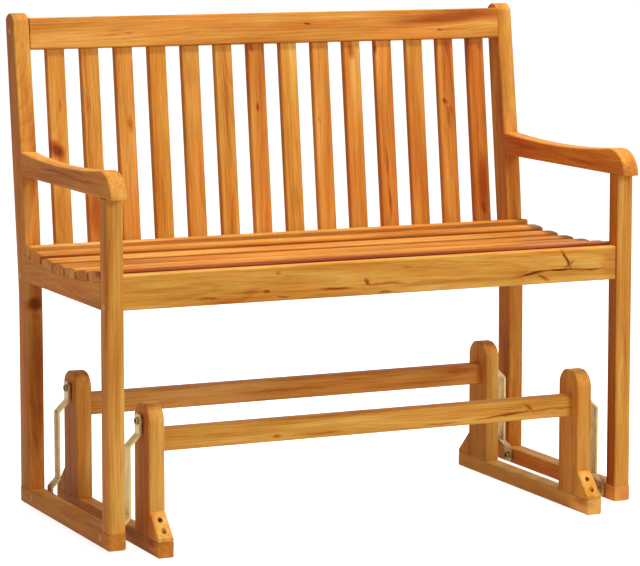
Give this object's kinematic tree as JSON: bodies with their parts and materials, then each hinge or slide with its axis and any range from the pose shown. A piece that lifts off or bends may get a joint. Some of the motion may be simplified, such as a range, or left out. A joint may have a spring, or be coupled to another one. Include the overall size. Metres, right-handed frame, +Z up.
{
  "type": "glider bench",
  "caption": "Slatted wooden glider bench with armrests: the seat frame hangs on joggled steel links from a standing base and glides fore and aft.",
  "frame": {"origin": "on the floor under the centre of the bench's bounding box", "axes": "+X along the bench to the right as seen from the front; +Y from front to back; +Z up"},
  "size_m": [1.02, 0.5493, 0.907],
  "materials": {
    "acacia": "oiled hardwood, satin",
    "plug_wood": "pale end-grain plugs",
    "link_steel": "yellow-zinc plated flat steel",
    "bolt_steel": "zinc plated",
    "spacer_steel": "zinc plated"
  },
  "bodies": {
    "base": {"base_foot_left": "acacia", "base_foot_right": "acacia", "base_post_front_left": "acacia", "base_post_front_right": "acacia", "base_post_rear_left": "acacia", "base_post_rear_right": "acacia", "base_stretcher_front": "acacia", "base_stretcher_rear": "acacia", "gusset_front_left": "acacia", "gusset_front_right": "acacia", "gusset_rear_left": "acacia", "gusset_rear_right": "acacia", "upper_pivot_bolts": "bolt_steel", "upper_pivot_spacers": "spacer_steel"},
    "link_front_left": {"link_front_left": "link_steel"},
    "link_front_right": {"link_front_right": "link_steel"},
    "link_rear_left": {"link_rear_left": "link_steel"},
    "link_rear_right": {"link_rear_right": "link_steel"},
    "seat": {"armrest_left": "acacia", "armrest_right": "acacia", "back_slat_01": "acacia", "back_slat_02": "acacia", "back_slat_03": "acacia", "back_slat_04": "acacia", "back_slat_05": "acacia", "back_slat_06": "acacia", "back_slat_07": "acacia", "back_slat_08": "acacia", "back_slat_09": "acacia", "back_slat_10": "acacia", "back_slat_11": "acacia", "back_slat_12": "acacia", "back_slat_13": "acacia", "back_slat_14": "acacia", "frame_plugs": "plug_wood", "front_apron": "acacia", "front_leg_left": "acacia", "front_leg_right": "acacia", "lower_pivot_bolts": "bolt_steel", "lower_pivot_spacers": "spacer_steel", "rear_post_left": "acacia", "rear_post_right": "acacia", "rear_seat_rail": "acacia", "runner_left": "acacia", "runner_right": "acacia", "seat_centre_bearer": "acacia", "seat_side_rail_left": "acacia", "seat_side_rail_right": "acacia", "seat_slat_1": "acacia", "seat_slat_2": "acacia", "seat_slat_3": "acacia", "seat_slat_4": "acacia", "seat_slat_5": "acacia", "seat_slat_6": "acacia", "seat_slat_7": "acacia", "top_rail": "acacia"}
  },
  "joints": [
    {"name": "swing", "type": "hinge", "parent": "base", "child": "link_front_left", "pos_m": [-0.4388, -0.2001, 0.227], "axis": [1, 0, 0], "range_deg": [-20, 20]},
    {"name": "swing_front_right", "type": "hinge", "parent": "base", "child": "link_front_right", "pos_m": [0.4388, -0.2001, 0.227], "axis": [1, 0, 0], "range_deg": [-20, 20]},
    {"name": "swing_rear_left", "type": "hinge", "parent": "base", "child": "link_rear_left", "pos_m": [-0.4388, 0.1603, 0.227], "axis": [1, 0, 0], "range_deg": [-20, 20]},
    {"name": "swing_rear_right", "type": "hinge", "parent": "base", "child": "link_rear_right", "pos_m": [0.4388, 0.1603, 0.227], "axis": [1, 0, 0], "range_deg": [-20, 20]},
    {"name": "seat_level", "type": "hinge", "parent": "link_front_left", "child": "seat", "pos_m": [-0.4728, -0.2001, 0.0285], "axis": [1, 0, 0], "range_deg": [-20, 20]}
  ],
  "couplings": [
    {"joint": "swing_front_right", "follows": "swing", "ratio": 1},
    {"joint": "swing_rear_left", "follows": "swing", "ratio": 1},
    {"joint": "swing_rear_right", "follows": "swing", "ratio": 1},
    {"joint": "seat_level", "follows": "swing", "ratio": -1}
  ]
}
